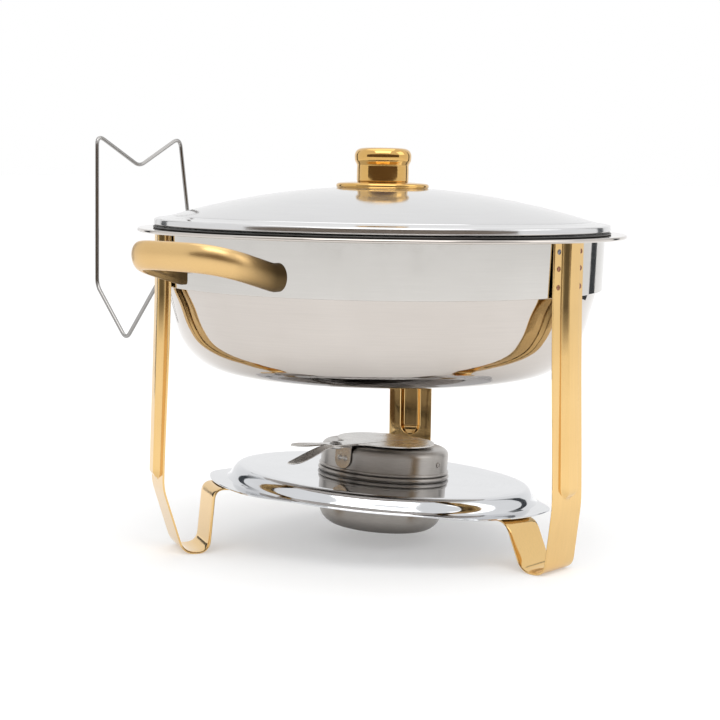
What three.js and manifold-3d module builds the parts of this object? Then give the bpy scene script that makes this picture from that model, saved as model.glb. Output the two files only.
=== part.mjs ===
// Round chafing dish food warmer: a pan set with a dome lid on a three-legged stand, with a fuel burner.
// Millimetres, +Z up. The stand's own axis is x = 0, y = 0 while the pieces are made; the finished group is
// then shifted so that its origin is the centre of its footprint, on the floor. The front leg is at -Y,
// the carrying handles are on the X axis and the lid holder is at +Y.
import * as THREE from 'three';
import { mergeVertices } from 'three/addons/utils/BufferGeometryUtils.js';
import Module from 'manifold-3d';

const wasm = await Module();
wasm.setup();

// ---- Driving dimensions ----
const GAP = 0.3; // clearance between pieces that touch
const SHEET = 1.2; // steel sheet of band, shelf and pans
const BIG_RING = 40; // segments around the large round pieces
const SMALL_RING = 28; // segments around the burner and the knob

const BAND_R = 164; // outer radius of the support band
const BAND_BOTTOM = 191.5;
const FLANGE_Z = 232; // top of the water pan's flange
const FLANGE_R = 180;
const PAN_BOTTOM = 126.5;
const FOOD_PAN_BOTTOM = 165;
const FOOD_RIM_R = 168; // outer radius of the food pan's rim and of the lid's bead
const LID_BEAD_Z = 235.6; // centre height of the lid's rolled bead
const LID_TOP = 264; // top of the dome at its centre
const KNOB_PLATE_R = 33.5;
const KNOB_TOP = 292.5;

const STRAP_WIDTH = 36;
const STRAP = 1.6; // thickness of the leg strap
const RIB_TOP_HALF = 5;
const RIB_BASE_HALF = 9.5;
const RIB_HEIGHT = 4.4;
const RIB_END_Z = 54;
const KINK_Z = 49; // height where the leg turns inward to its foot
const KINK_R = 168.8;
const FOOT_BEND_R = 10; // outer radius of the bend that stands on the floor
const TAB_BEND_R = 131; // radius from the axis where the leg turns into its tab
const TAB_END_R = 106;
const WELD_TAB_TOP = 229; // top end of the leg on the band

const SHELF_TOP = 49.3;
const SHELF_DROP = 10.5; // from the flat top down to the lobes
const SHELF_FLAT_R = 107;
const SHELF_FOOT_R = 117;
const LOBE_R = 129.5; // radius of the shelf's lobes, at the legs
const SHELF_HOLE_R = 47.3;
const TAB_Z = SHELF_TOP - SHELF_DROP - SHEET - GAP; // top of the leg's tab, under the shelf

// The tabs are bent by hand, so the shelf and its burner stand a little off centre and out of level.
const DECK_X = 2.7;
const DECK_Y = -3.3;
const DECK_TILT = THREE.MathUtils.degToRad(4.4);
const DECK_UPHILL = THREE.MathUtils.degToRad(157); // direction of the high side, from +X

const CUP_R = 46.5;
const CUP_BOTTOM = SHELF_TOP - 40;
const COVER_R = 47.8;
const COVER_TOP = SHELF_TOP + 22.4;
const COVER_OPENING_R = 29;
const DAMPER_R = 36.4;
const DAMPER_Z = COVER_TOP + 1.5; // underside of the damper disc
const DAMPER_SHEET = 1;
const PIVOT_R = 58; // distance of the damper's rivet from the burner's axis
const TAIL_R = PIVOT_R + 11; // distance of the fork at the end of the damper's arm
const BURNER_SHEET = 0.8;
const BRACKET_WIDTH = 14.5;
const ARM_WIDTH = 17;
const RIVET_R = 2.9;

const HANDLE_REACH = 55; // how far the handle's middle stands off the band
const HANDLE_HALF = 49.5; // half the handle's width along the band
const BAR_THICKNESS = 8.5;
const HANDLE_TILT = THREE.MathUtils.degToRad(15);
const HANDLE_Z = 205; // height of the handle's ends on the band
const HANDLE_HEIGHT = 19;
const SCREW_OFFSET = 43.5; // of each handle screw from the handle's middle

const WIRE_R = 1.6; // lid holder wire
const HOLDER_HALF = 56; // half width of the lid holder at its arms
const HOLDER_TOP_Y = 265; // distance of its top from the stand's axis

// Leg positions round the band. The feet are bent by hand, so their middles are not at one radius.
const LEGS = [
  { name: 'leg_front', angle: -90, footR: 154 },
  { name: 'leg_rear_left', angle: 150, footR: 144.5 },
  { name: 'leg_rear_right', angle: 30, footR: 149 },
];

// ---- Finishes ----
const finish = (color, roughness) => new THREE.MeshStandardMaterial({ color, roughness, metalness: 1 });
const MIRROR = () => finish(0xcfccc6, 0.08);
const SATIN_STEEL = () => finish(0xd4d4d4, 0.25);
const BRUSHED = () => finish(0x9c948c, 0.35);
const GOLD = () => finish(0xe0b266, 0.15);
const SATIN_GOLD = () => finish(0xc79650, 0.35);

// ---- Geometry helpers ----
const v2 = (x, y) => new THREE.Vector2(x, y);
const v3 = (x, y, z) => new THREE.Vector3(x, y, z);
const radial = (r, degrees, z) => {
  const a = THREE.MathUtils.degToRad(degrees);
  return v3(r * Math.cos(a), r * Math.sin(a), z);
};

function signedVolume(geometry) {
  const p = geometry.attributes.position;
  const index = geometry.index.array;
  const [a, b, c] = [v3(0, 0, 0), v3(0, 0, 0), v3(0, 0, 0)];
  let sum = 0;
  for (let i = 0; i < index.length; i += 3) {
    a.fromBufferAttribute(p, index[i]);
    b.fromBufferAttribute(p, index[i + 1]);
    c.fromBufferAttribute(p, index[i + 2]);
    sum += a.dot(b.cross(c));
  }
  return sum / 6;
}

// Joins shared vertices, drops faces that this folds up, and turns the rest outward.
function closed(geometry) {
  geometry.deleteAttribute('normal');
  geometry.deleteAttribute('uv');
  const merged = mergeVertices(geometry, 1e-3);
  const corners = Array.from(merged.index.array);
  const kept = [];
  for (let i = 0; i < corners.length; i += 3) {
    const face = corners.slice(i, i + 3);
    if (new Set(face).size === 3) kept.push(...face);
  }
  merged.setIndex(kept);
  if (signedVolume(merged) < 0) {
    const index = merged.index.array;
    for (let i = 0; i < index.length; i += 3) [index[i], index[i + 1]] = [index[i + 1], index[i]];
  }
  merged.computeVertexNormals();
  return merged;
}

// Revolves a profile of [radius, height] points about Z. A profile off the axis is closed on itself.
function turned(profile, segments = BIG_RING) {
  const points = profile.map(([r, z]) => v2(Math.max(r, 0), z));
  const onAxis = points[0].x === 0 && points[points.length - 1].x === 0;
  if (!onAxis) points.push(points[0].clone());
  return closed(new THREE.LatheGeometry(points, segments).rotateX(Math.PI / 2));
}

// A quarter or part turn of [radius, height] points about a centre, from one angle to another in degrees.
function arc([cx, cy], radius, from, to, steps) {
  return Array.from({ length: steps + 1 }, (_, i) => {
    const a = THREE.MathUtils.degToRad(from + ((to - from) * i) / steps);
    return [cx + radius * Math.cos(a), cy + radius * Math.sin(a)];
  });
}

// A sheet profile: the outer line, and the same line set back by the sheet's thickness, as one closed loop.
function sheetProfile(line, thickness) {
  const back = line.map((p, i) => {
    const a = line[Math.max(i - 1, 0)];
    const b = line[Math.min(i + 1, line.length - 1)];
    const length = Math.hypot(b[0] - a[0], b[1] - a[1]);
    return [p[0] - ((b[1] - a[1]) / length) * thickness, p[1] + ((b[0] - a[0]) / length) * thickness];
  });
  return [...line, ...back.reverse()];
}

// Triangles that close a flat loop by rungs from its first half to its second half.
function capFaces(count) {
  const faces = [];
  for (let j = 0; j < Math.floor(count / 2); j += 1) {
    const [a, b, c, d] = [j, j + 1, count - 2 - j, count - 1 - j];
    if (b < c) faces.push(a, b, c);
    if (a < c) faces.push(a, c, d);
  }
  return faces;
}

// Skins a row of closed loops with equal point counts; a ring joins the last loop to the first.
function lofted(loops, ring = false) {
  const count = loops[0].length;
  const faces = [];
  const last = ring ? loops.length : loops.length - 1;
  for (let i = 0; i < last; i += 1) {
    const a = i * count;
    const b = ((i + 1) % loops.length) * count;
    for (let j = 0; j < count; j += 1) {
      const k = (j + 1) % count;
      faces.push(a + j, b + j, b + k, a + j, b + k, a + k);
    }
  }
  if (!ring) {
    const end = (loops.length - 1) * count;
    faces.push(...capFaces(count));
    faces.push(...capFaces(count).reverse().map((j) => end + j));
  }
  const positions = loops.flat().flatMap((p) => p.toArray());
  const geometry = new THREE.BufferGeometry();
  geometry.setAttribute('position', new THREE.Float32BufferAttribute(positions, 3));
  geometry.setIndex(faces);
  return closed(geometry);
}

// A line of points with each inner corner replaced by an arc-like curve of the given cut length.
function rounded(points, cut, steps) {
  const line = [points[0]];
  for (let i = 1; i < points.length - 1; i += 1) {
    const p = points[i];
    const size = Array.isArray(cut) ? cut[i - 1] : cut;
    const start = p.clone().add(points[i - 1].clone().sub(p).setLength(size));
    const end = p.clone().add(points[i + 1].clone().sub(p).setLength(size));
    for (let k = 0; k <= steps; k += 1) {
      const t = k / steps;
      line.push(start.clone().lerp(p, t).lerp(p.clone().lerp(end, t), t));
    }
  }
  line.push(points[points.length - 1]);
  return line;
}

function manifoldOf(geometry) {
  return new wasm.Manifold(
    new wasm.Mesh({
      numProp: 3,
      vertProperties: new Float32Array(geometry.attributes.position.array),
      triVerts: new Uint32Array(geometry.index.array),
    }),
  );
}

function fromManifold(solid) {
  const mesh = solid.getMesh();
  const geometry = new THREE.BufferGeometry();
  geometry.setAttribute('position', new THREE.BufferAttribute(mesh.vertProperties, 3));
  geometry.setIndex(new THREE.BufferAttribute(mesh.triVerts, 1));
  return closed(geometry);
}

const cut = (geometry, ...tools) =>
  fromManifold(tools.reduce((solid, tool) => solid.subtract(manifoldOf(tool)), manifoldOf(geometry)));
const join = (geometry, ...others) =>
  fromManifold(others.reduce((solid, other) => solid.add(manifoldOf(other)), manifoldOf(geometry)));

// ---- Assembly groups: the whole, and the tilted deck that holds the shelf and its burner ----
const chafer = new THREE.Group();
const deck = new THREE.Group();
deck.position.set(DECK_X, DECK_Y, SHELF_TOP);
deck.quaternion.setFromAxisAngle(v3(Math.sin(DECK_UPHILL), -Math.cos(DECK_UPHILL), 0), DECK_TILT);
chafer.add(deck);

function piece(name, geometry, material) {
  const mesh = new THREE.Mesh(geometry, material);
  mesh.name = name;
  chafer.add(mesh);
  return mesh;
}

function deckPiece(name, geometry, material) {
  const mesh = piece(name, geometry, material);
  mesh.position.z = -SHELF_TOP;
  deck.add(mesh);
}

// ---- Stand: band, legs, shelf ----
const SCREW_R = 2;
const SCREW_HOLE_R = 2.4;
const SCREW_ANGLE = Math.asin(SCREW_OFFSET / BAND_R);
const SCREWS = [
  ['handle_screw_right_rear', SCREW_ANGLE],
  ['handle_screw_right_front', -SCREW_ANGLE],
  ['handle_screw_left_rear', Math.PI - SCREW_ANGLE],
  ['handle_screw_left_front', Math.PI + SCREW_ANGLE],
];

// A cylinder from one radius to another along a horizontal spoke of the band.
function spoke(radius, from, to, angle, z, segments = 12) {
  return closed(
    new THREE.CylinderGeometry(radius, radius, to - from, segments)
      .rotateZ(Math.PI / 2)
      .translate((from + to) / 2, 0, 0)
      .rotateZ(angle)
      .translate(0, 0, z),
  );
}

function supportBand() {
  const top = FLANGE_Z - SHEET - GAP;
  const band = turned([
    [BAND_R - SHEET, BAND_BOTTOM],
    [BAND_R, BAND_BOTTOM],
    [BAND_R, top],
    [BAND_R - SHEET, top],
  ]);
  const hole = (angle) => spoke(SCREW_HOLE_R, BAND_R - 8, BAND_R + 8, angle, HANDLE_Z);
  return cut(band, ...SCREWS.map(([, angle]) => hole(angle)));
}

// How far the tilted deck stands above its level height at a place on the plan.
function deckRise(place) {
  const along = (place.x - DECK_X) * Math.cos(DECK_UPHILL) + (place.y - DECK_Y) * Math.sin(DECK_UPHILL);
  return Math.tan(DECK_TILT) * along;
}

// The leg's middle line in its own radial plane, as (radius, height) points from top to tab end.
function legLine(footR, angle) {
  const strapR = BAND_R + GAP + STRAP / 2;
  const bend = FOOT_BEND_R - STRAP / 2;
  const floor = STRAP / 2;
  const kink = v2(KINK_R, KINK_Z);
  const tab = (r) => v2(r, TAB_Z - STRAP / 2 + deckRise(radial(r, angle, 0)));
  const outerCorner = v2(footR + bend, floor);
  const innerCorner = v2(footR - bend, floor);
  const corners = [
    v2(strapR, WELD_TAB_TOP),
    v2(strapR, BAND_BOTTOM - 4),
    kink,
    outerCorner,
    innerCorner,
    tab(TAB_BEND_R),
    tab(TAB_END_R),
  ];
  return rounded(corners, [6, 7, bend * 0.95, bend * 0.95, 8], 5);
}

const smooth = (x) => {
  const t = THREE.MathUtils.clamp(x, 0, 1);
  return t * t * (3 - 2 * t);
};

// Cross-section of the strap at one station: outer side across, then inner side back.
function strapLoop(centre, outward, height) {
  const half = [STRAP_WIDTH / 2, RIB_BASE_HALF, RIB_TOP_HALF];
  const across = [...half.map((t) => -t), ...half.reverse()];
  const lift = [0, 0, height, height, 0, 0];
  const side = (offset) =>
    across.map((t, i) => {
      const out = lift[i] + offset;
      return v3(centre.x + outward.x * out, t, centre.y + outward.y * out);
    });
  return [...side(STRAP / 2), ...side(-STRAP / 2).reverse()];
}

function leg(footR, angle) {
  const line = legLine(footR, angle);
  const ribFade = 8;
  const stations = line.flatMap((p, i) => {
    // The rib's end needs stations of its own between the band and the kink.
    const next = line[i + 1];
    if (!next || p.y < RIB_END_Z + ribFade || next.y > RIB_END_Z) return [p];
    const at = (z) => p.clone().lerp(next, (p.y - z) / (p.y - next.y));
    return [p, at(RIB_END_Z + ribFade), at(RIB_END_Z + ribFade / 2), at(RIB_END_Z)];
  });
  const loops = stations.map((p, i) => {
    const a = stations[Math.max(i - 1, 0)];
    const b = stations[Math.min(i + 1, stations.length - 1)];
    const along = b.clone().sub(a).normalize();
    const height = RIB_HEIGHT * smooth((p.y - RIB_END_Z) / ribFade) * (p.x > TAB_BEND_R + 20 ? 1 : 0);
    return strapLoop(p, v2(-along.y, along.x), height);
  });
  // The tab twists across its width until it lies flat under the deck.
  const acrossSlope = deckRise(radial(1, angle + 90, 0)) - deckRise(v3(0, 0, 0));
  for (const p of loops.flat()) p.z += p.y * acrossSlope * smooth((TAB_BEND_R + 6 - p.x) / 10);
  return lofted(loops);
}

// The shelf's section in one radial plane: top line outward, then the underside back.
function shelfLoop(degrees) {
  const nearLeg = smooth((Math.cos(THREE.MathUtils.degToRad(3 * (degrees + 90))) + 0.55) / 1.1);
  const rim = THREE.MathUtils.lerp(SHELF_FOOT_R + 1, LOBE_R, nearLeg);
  const foot = SHELF_TOP - SHELF_DROP;
  const skirt = SHELF_FOOT_R - SHELF_FLAT_R;
  const line = [
    [SHELF_HOLE_R, SHELF_TOP],
    [SHELF_FLAT_R, SHELF_TOP],
    [SHELF_FLAT_R + 0.35 * skirt, SHELF_TOP - 0.12 * SHELF_DROP],
    [SHELF_FLAT_R + 0.62 * skirt, SHELF_TOP - 0.42 * SHELF_DROP],
    [SHELF_FLAT_R + 0.8 * skirt, SHELF_TOP - 0.82 * SHELF_DROP],
    [SHELF_FOOT_R, foot],
    [rim, foot],
  ];
  const loop = sheetProfile(line, -SHEET);
  loop[line.length] = [rim, foot - SHEET];
  return loop.map(([r, z]) => radial(r, degrees, z));
}

function burnerShelf() {
  const steps = 60;
  return lofted(Array.from({ length: steps }, (_, i) => shelfLoop((360 * i) / steps)), true);
}

piece('support_band', supportBand(), MIRROR());
for (const { name, angle, footR } of LEGS) {
  piece(name, leg(footR, angle), GOLD()).rotation.z = THREE.MathUtils.degToRad(angle);
}
deckPiece('burner_shelf', burnerShelf(), MIRROR());

// ---- Pan set ----
const PAN_WALL_R = 159.4;
const BOWL_LINE = [
  [92, PAN_BOTTOM],
  [109, 127.4],
  [123, 130.2],
  [133, 135],
  [141, 142],
  [147.2, 151],
  [151.4, 162],
  [155, 176],
  [158.2, 188],
  [PAN_WALL_R, 197],
];

// The water pan: flat bottom, round bowl, straight wall inside the band, wide flat flange.
function waterPan() {
  const under = FLANGE_Z - SHEET;
  const neck = [[PAN_WALL_R, under - 1.5], [PAN_WALL_R + 1, under]];
  const line = [[0, PAN_BOTTOM], ...BOWL_LINE, ...neck, [FLANGE_R, under]];
  const profile = sheetProfile(line, SHEET);
  profile[0] = [0, PAN_BOTTOM];
  profile[profile.length - 1] = [0, PAN_BOTTOM + SHEET];
  return turned(profile);
}

// The food pan hangs inside the water pan by its rim, which stands on the flange.
function foodPan() {
  const wall = 155.5;
  const floor = FOOD_PAN_BOTTOM;
  const rimUnder = FLANGE_Z + GAP;
  const line = [
    [0, floor],
    [112, floor],
    [124, floor + 2],
    [132, floor + 8],
    [wall - 14, floor + 18],
    [wall - 6, floor + 32],
    [wall, floor + 50],
    [wall, rimUnder - 1.5],
    [wall + 1, rimUnder],
    [FOOD_RIM_R, rimUnder],
  ];
  const profile = sheetProfile(line, 1);
  profile[0] = [0, floor];
  profile[profile.length - 1] = [0, floor + 1];
  return turned(profile);
}

const domeHeight = (r) => LID_TOP - 26.1 * (r / 165) ** 2;

// The lid: a shallow dome with a small step down to a rolled bead that stands on the food pan's rim.
function lid() {
  const bead = 1.5;
  const beadR = FOOD_RIM_R - bead;
  const dome = [4, 30, 60, 90, 115, 138, 155, 163].map((r) => [r, domeHeight(r)]);
  const outer = [
    ...dome,
    [164.6, LID_BEAD_Z + 1.3],
    ...arc([beadR, LID_BEAD_Z], bead, 100, -90, 5),
    [beadR - 2.4, LID_BEAD_Z - bead],
  ];
  const inner = [[162, LID_BEAD_Z + 0.4], ...dome.slice(0, -1).reverse().map(([r, z]) => [r, z - 0.9])];
  const hole = 2.6; // for the knob's screw
  outer[0] = [hole, domeHeight(hole)];
  inner[inner.length - 1] = [hole, domeHeight(hole) - 0.9];
  return turned([...outer, ...inner]);
}

function knobBasePlate() {
  const under = domeHeight(KNOB_PLATE_R) + GAP;
  const top = KNOB_TOP - 25;
  return turned(
    [
      [2.6, domeHeight(0) + GAP],
      [18, domeHeight(18) + GAP + 0.3],
      [KNOB_PLATE_R - 1, under + 0.3],
      [KNOB_PLATE_R, under + 1.4],
      [KNOB_PLATE_R - 1.2, under + 2.8],
      [26, top - 0.3],
      [2.6, top],
    ],
    SMALL_RING,
  );
}

function knob() {
  const base = KNOB_TOP - 25 + GAP;
  const screwDepth = 12;
  return turned(
    [
      [0, base + screwDepth],
      [2.3, base + screwDepth],
      [2.3, base],
      [17.2, base],
      [19, base + 1.4],
      [19.2, base + 11],
      [18.7, base + 13.5],
      [20.1, base + 15.5],
      [20.6, base + 18],
      [20.4, KNOB_TOP - 3.4],
      [18.6, KNOB_TOP - 0.9],
      [15.5, KNOB_TOP],
      [0, KNOB_TOP],
    ],
    SMALL_RING,
  );
}

function knobScrew() {
  const seat = domeHeight(0) - 0.9 - GAP - 1.2 - GAP;
  return turned(
    [
      [0, seat - 3],
      [3, seat - 3],
      [4.3, seat - 1.4],
      [4.3, seat],
      [2, seat],
      [2, seat + 14],
      [0, seat + 14],
    ],
    16,
  );
}

function knobWasher() {
  const top = domeHeight(0) - 0.9 - GAP;
  return turned([[2.4, top - 1.2], [7, top - 1.2], [7, top], [2.4, top]], 20);
}

piece('water_pan', waterPan(), MIRROR());
piece('food_pan', foodPan(), SATIN_STEEL());
piece('lid', lid(), SATIN_STEEL());
piece('knob_base_plate', knobBasePlate(), GOLD());
piece('knob', knob(), GOLD());
piece('knob_screw', knobScrew(), SATIN_STEEL());
piece('knob_washer', knobWasher(), SATIN_STEEL());

// ---- Handles and their screws ----
// Section of the handle: a flat-backed bar with a domed outer face, in (outward, up) coordinates.
function barSection() {
  const [depth, half] = [BAR_THICKNESS, HANDLE_HEIGHT / 2];
  return [
    v2(0, -half + 2),
    v2(depth * 0.3, -half),
    v2(depth * 0.78, -half * 0.7),
    v2(depth, 0),
    v2(depth * 0.78, half * 0.7),
    v2(depth * 0.3, half),
    v2(0, half - 2),
  ];
}

// The handle is a D seen from above, tilted up away from the band, with its two ends on the band.
function handle() {
  const seat = BAND_R + GAP + 0.3;
  const inner = HANDLE_HALF - BAR_THICKNESS;
  const middle = BAND_R + HANDLE_REACH - BAR_THICKNESS;
  const half = rounded([v3(157, inner, 0), v3(middle, inner, 0), v3(middle + 1, 0, 0)], 24, 8);
  const line = [...half, ...half.slice(0, -1).reverse().map((p) => v3(p.x, -p.y, 0))];
  const loops = line.map((p, i) => {
    const a = line[Math.max(i - 1, 0)];
    const b = line[Math.min(i + 1, line.length - 1)];
    const along = b.clone().sub(a).normalize();
    const atEnd = i === 0 || i === line.length - 1;
    return barSection().map((q) => {
      const point = v3(-along.y, along.x, 0).multiplyScalar(q.x).add(p);
      if (atEnd) point.x = Math.sqrt(seat * seat - point.y * point.y);
      point.z = HANDLE_Z + q.y + Math.max(point.x - BAND_R, 0) * Math.tan(HANDLE_TILT);
      return point;
    });
  });
  const hole = (angle) => spoke(SCREW_HOLE_R, BAND_R - 4, BAND_R + 7.5, angle, HANDLE_Z);
  return cut(lofted(loops), hole(SCREW_ANGLE), hole(-SCREW_ANGLE));
}

function handleScrew(angle) {
  const headInside = BAND_R * Math.cos(Math.PI / BIG_RING) - SHEET - GAP;
  const head = spoke(4, headInside - 1.6, headInside, angle, HANDLE_Z, 16);
  return join(head, spoke(SCREW_R, headInside - 0.5, BAND_R + 6.5, angle, HANDLE_Z));
}

piece('handle_right', handle(), SATIN_GOLD());
piece('handle_left', handle(), SATIN_GOLD()).rotation.z = Math.PI;
for (const [name, angle] of SCREWS) piece(name, handleScrew(angle), SATIN_STEEL());

// ---- Lid holder: one bent wire, fixed to the band just under the flange ----
function lidHolder() {
  const onBand = Math.sqrt((BAND_R + WIRE_R + GAP) ** 2 - HOLDER_HALF ** 2);
  const half = [
    v3(HOLDER_HALF, onBand, 228),
    v3(HOLDER_HALF, onBand, 218),
    v3(HOLDER_HALF, 219, 137), // bottom of the V that the lid's rim stands in
    v3(HOLDER_HALF - 0.5, 255, 179),
    v3(46.5, HOLDER_TOP_Y, 302),
    v3(0, HOLDER_TOP_Y, 276.5),
  ];
  const bends = [4, 7, 6, 9, 6];
  const points = [...half, ...half.slice(0, -1).reverse().map((p) => v3(-p.x, p.y, p.z))];
  const line = rounded(points, [...bends, ...bends.slice(0, -1).reverse()], 4);
  const path = new THREE.CurvePath();
  for (let i = 1; i < line.length; i += 1) path.add(new THREE.LineCurve3(line[i - 1], line[i]));
  const section = new THREE.Shape(arc([0, 0], WIRE_R, 0, 315, 7).map(([x, y]) => v2(x, y)));
  return closed(new THREE.ExtrudeGeometry(section, { extrudePath: path, steps: 84 }));
}

piece('lid_holder', lidHolder(), MIRROR());

// ---- Burner, standing in the shelf's hole ----
const BEAD_TOP = SHELF_TOP + GAP + 3.2;

function burnerCup() {
  const corner = 15;
  const rest = SHELF_TOP + GAP;
  const neck = CUP_R - 0.7;
  const outer = [
    [0, CUP_BOTTOM],
    ...arc([CUP_R - corner, CUP_BOTTOM + corner], corner, -90, 0, 5),
    [CUP_R, rest],
    [COVER_R + 0.8, rest],
    [COVER_R + 1.4, rest + 1.4],
    [COVER_R + 0.6, BEAD_TOP - 0.3],
    [neck, BEAD_TOP],
    [neck, BEAD_TOP + 5],
  ];
  const inner = [
    [neck - BURNER_SHEET, BEAD_TOP + 5],
    [neck - BURNER_SHEET, rest - 2],
    ...arc([CUP_R - corner, CUP_BOTTOM + corner], corner - BURNER_SHEET, 0, -90, 5),
    [0, CUP_BOTTOM + BURNER_SHEET],
  ];
  return turned([...outer, ...inner], SMALL_RING);
}

function burnerCover() {
  const shoulder = 5;
  const skirt = BEAD_TOP + GAP;
  const outer = [
    [COVER_R, skirt],
    ...arc([COVER_R - shoulder, COVER_TOP - shoulder], shoulder, 0, 90, 4),
    [COVER_OPENING_R + 2, COVER_TOP],
    [COVER_OPENING_R, COVER_TOP - 1.5],
  ];
  const inner = [
    [COVER_OPENING_R + 0.7, COVER_TOP - 2],
    [COVER_OPENING_R + 2.3, COVER_TOP - BURNER_SHEET],
    ...arc([COVER_R - shoulder, COVER_TOP - shoulder], shoulder - BURNER_SHEET, 90, 0, 4),
    [COVER_R - BURNER_SHEET, skirt],
  ];
  return turned([...outer, ...inner], SMALL_RING);
}

// A flat plate from an outline seen from above, with its underside at the given height.
function plate(shape, thickness, z) {
  const options = { depth: thickness, bevelEnabled: false, curveSegments: 8 };
  return closed(new THREE.ExtrudeGeometry(shape, options).translate(0, 0, z));
}

// The bracket: a tongue down the cover's side and a foot outward, under the damper's arm.
function damperBracket() {
  const face = COVER_R + GAP;
  const half = BRACKET_WIDTH / 2;
  const footTop = DAMPER_Z - GAP;
  const foot = new THREE.Shape();
  foot.moveTo(-face, -half).lineTo(-face, half).lineTo(-PIVOT_R, half);
  foot.absarc(-PIVOT_R, 0, half, Math.PI / 2, (3 * Math.PI) / 2);
  foot.holes.push(new THREE.Path().absarc(-PIVOT_R, 0, RIVET_R + GAP, 0, 2 * Math.PI, true));
  const tongueBottom = BEAD_TOP + 2.5;
  const tongue = new THREE.Shape();
  tongue.moveTo(-half, footTop).lineTo(-half, tongueBottom + half);
  tongue.absarc(0, tongueBottom + half, half, Math.PI, 2 * Math.PI).lineTo(half, footTop);
  const upright = closed(
    new THREE.ExtrudeGeometry(tongue, { depth: 1, bevelEnabled: false, curveSegments: 8 })
      .rotateX(Math.PI / 2)
      .rotateZ(Math.PI / 2)
      .translate(-face - 1, 0, 0),
  );
  return join(plate(foot, 1, footTop - 1), upright);
}

// One tail of the finger grip: a twisted leaf from the fork to its tip. The side is 1 for the rear tail and
// -1 for the front one, reach and rise are counted from the fork, and tipY from the arm's middle line.
function damperTail(side, reach, tipY, rise) {
  const steps = 8;
  const start = v3(2 - TAIL_R, side * 3.6, DAMPER_Z + DAMPER_SHEET / 2);
  const end = v3(-TAIL_R - reach, tipY, start.z + rise);
  const loops = Array.from({ length: steps + 1 }, (_, i) => {
    const t = i / steps;
    const centre = start.clone().lerp(end, t);
    centre.z = THREE.MathUtils.lerp(start.z, end.z, smooth(t));
    const half = (4.2 + Math.sin(Math.PI * t)) * (t < 1 ? 1 : 0.55);
    const twist = THREE.MathUtils.degToRad(48) * smooth(t * 1.2);
    const across = v3(0, Math.cos(twist), Math.sin(twist)).multiplyScalar(half);
    const up = v3(0, -Math.sin(twist), Math.cos(twist)).multiplyScalar(DAMPER_SHEET / 2);
    return [[1, 1], [-1, 1], [-1, -1], [1, -1]].map(([a, u]) =>
      centre.clone().addScaledVector(across, a).addScaledVector(up, u),
    );
  });
  return lofted(loops);
}

function damper() {
  const half = ARM_WIDTH / 2;
  const armStart = Math.sqrt(DAMPER_R ** 2 - half ** 2);
  const tip = Math.atan2(half, -armStart);
  const shape = new THREE.Shape();
  shape.absarc(0, 0, DAMPER_R, -tip, tip, false);
  shape.lineTo(-TAIL_R, half - 1).lineTo(-TAIL_R, 1 - half);
  shape.holes.push(new THREE.Path().absarc(-PIVOT_R, 0, RIVET_R + GAP, 0, 2 * Math.PI, true));
  const level = damperTail(1, 28, 8, 0);
  const drooping = damperTail(-1, 40, -1, -11);
  return join(plate(shape, DAMPER_SHEET, DAMPER_Z), level, drooping);
}

// The hollow rivet, flared over the arm and under the bracket.
function damperRivet() {
  const top = DAMPER_Z + DAMPER_SHEET + GAP;
  const bottom = DAMPER_Z - GAP - 1 - GAP;
  const flare = RIVET_R + 1.7;
  return turned(
    [
      [RIVET_R - 0.7, bottom - 0.9],
      [flare, bottom - 0.9],
      [flare, bottom],
      [RIVET_R, bottom],
      [RIVET_R, top],
      [flare, top],
      [flare - 0.6, top + 0.9],
      [RIVET_R - 0.7, top + 0.9],
    ],
    16,
  ).translate(-PIVOT_R, 0, 0);
}

deckPiece('burner_cup', burnerCup(), BRUSHED());
deckPiece('burner_cover', burnerCover(), BRUSHED());
deckPiece('damper_bracket', damperBracket(), BRUSHED());
deckPiece('damper', damper(), BRUSHED());
deckPiece('damper_rivet', damperRivet(), BRUSHED());

// The origin is the centre of the footprint, on the floor.
chafer.updateMatrixWorld(true);
const bounds = new THREE.Box3().setFromObject(chafer, true);
chafer.position.set(-(bounds.min.x + bounds.max.x) / 2, -(bounds.min.y + bounds.max.y) / 2, -bounds.min.z);

export default chafer;
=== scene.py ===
"""Round chafing dish: the finished look of every piece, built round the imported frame.

Shapes are written in millimetres in the stand's own frame (stand axis at x = 0, y = 0, floor at z = 0)
or in the deck's frame (burner axis at x = 0, y = 0, shelf top at z = 0), and placed in metres.
"""

import math

import bmesh
import bpy
from mathutils import Matrix, Vector


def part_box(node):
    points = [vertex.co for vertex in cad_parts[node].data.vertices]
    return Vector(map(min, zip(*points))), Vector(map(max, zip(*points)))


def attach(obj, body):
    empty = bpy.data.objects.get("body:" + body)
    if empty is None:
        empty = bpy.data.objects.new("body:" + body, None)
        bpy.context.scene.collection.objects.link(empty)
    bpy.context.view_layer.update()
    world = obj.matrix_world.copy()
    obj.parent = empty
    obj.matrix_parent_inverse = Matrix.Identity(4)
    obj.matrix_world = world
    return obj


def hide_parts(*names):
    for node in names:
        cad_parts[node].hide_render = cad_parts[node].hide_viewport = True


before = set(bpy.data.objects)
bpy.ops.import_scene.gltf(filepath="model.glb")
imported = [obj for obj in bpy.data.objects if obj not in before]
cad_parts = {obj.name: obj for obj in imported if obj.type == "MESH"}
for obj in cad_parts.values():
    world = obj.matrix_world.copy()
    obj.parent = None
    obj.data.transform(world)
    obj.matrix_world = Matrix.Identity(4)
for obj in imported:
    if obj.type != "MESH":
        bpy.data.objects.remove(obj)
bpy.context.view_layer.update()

MM = 0.001
AXIS_Y = (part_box("water_pan")[0].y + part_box("water_pan")[1].y) / 2
STAND = Matrix.Translation((0, AXIS_Y, 0))


def extent(name):
    """A round CAD piece's half width, and its lowest and highest point, in millimetres."""
    low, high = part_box(name)
    return (high.x - low.x) / 2 / MM, low.z / MM, high.z / MM


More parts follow.
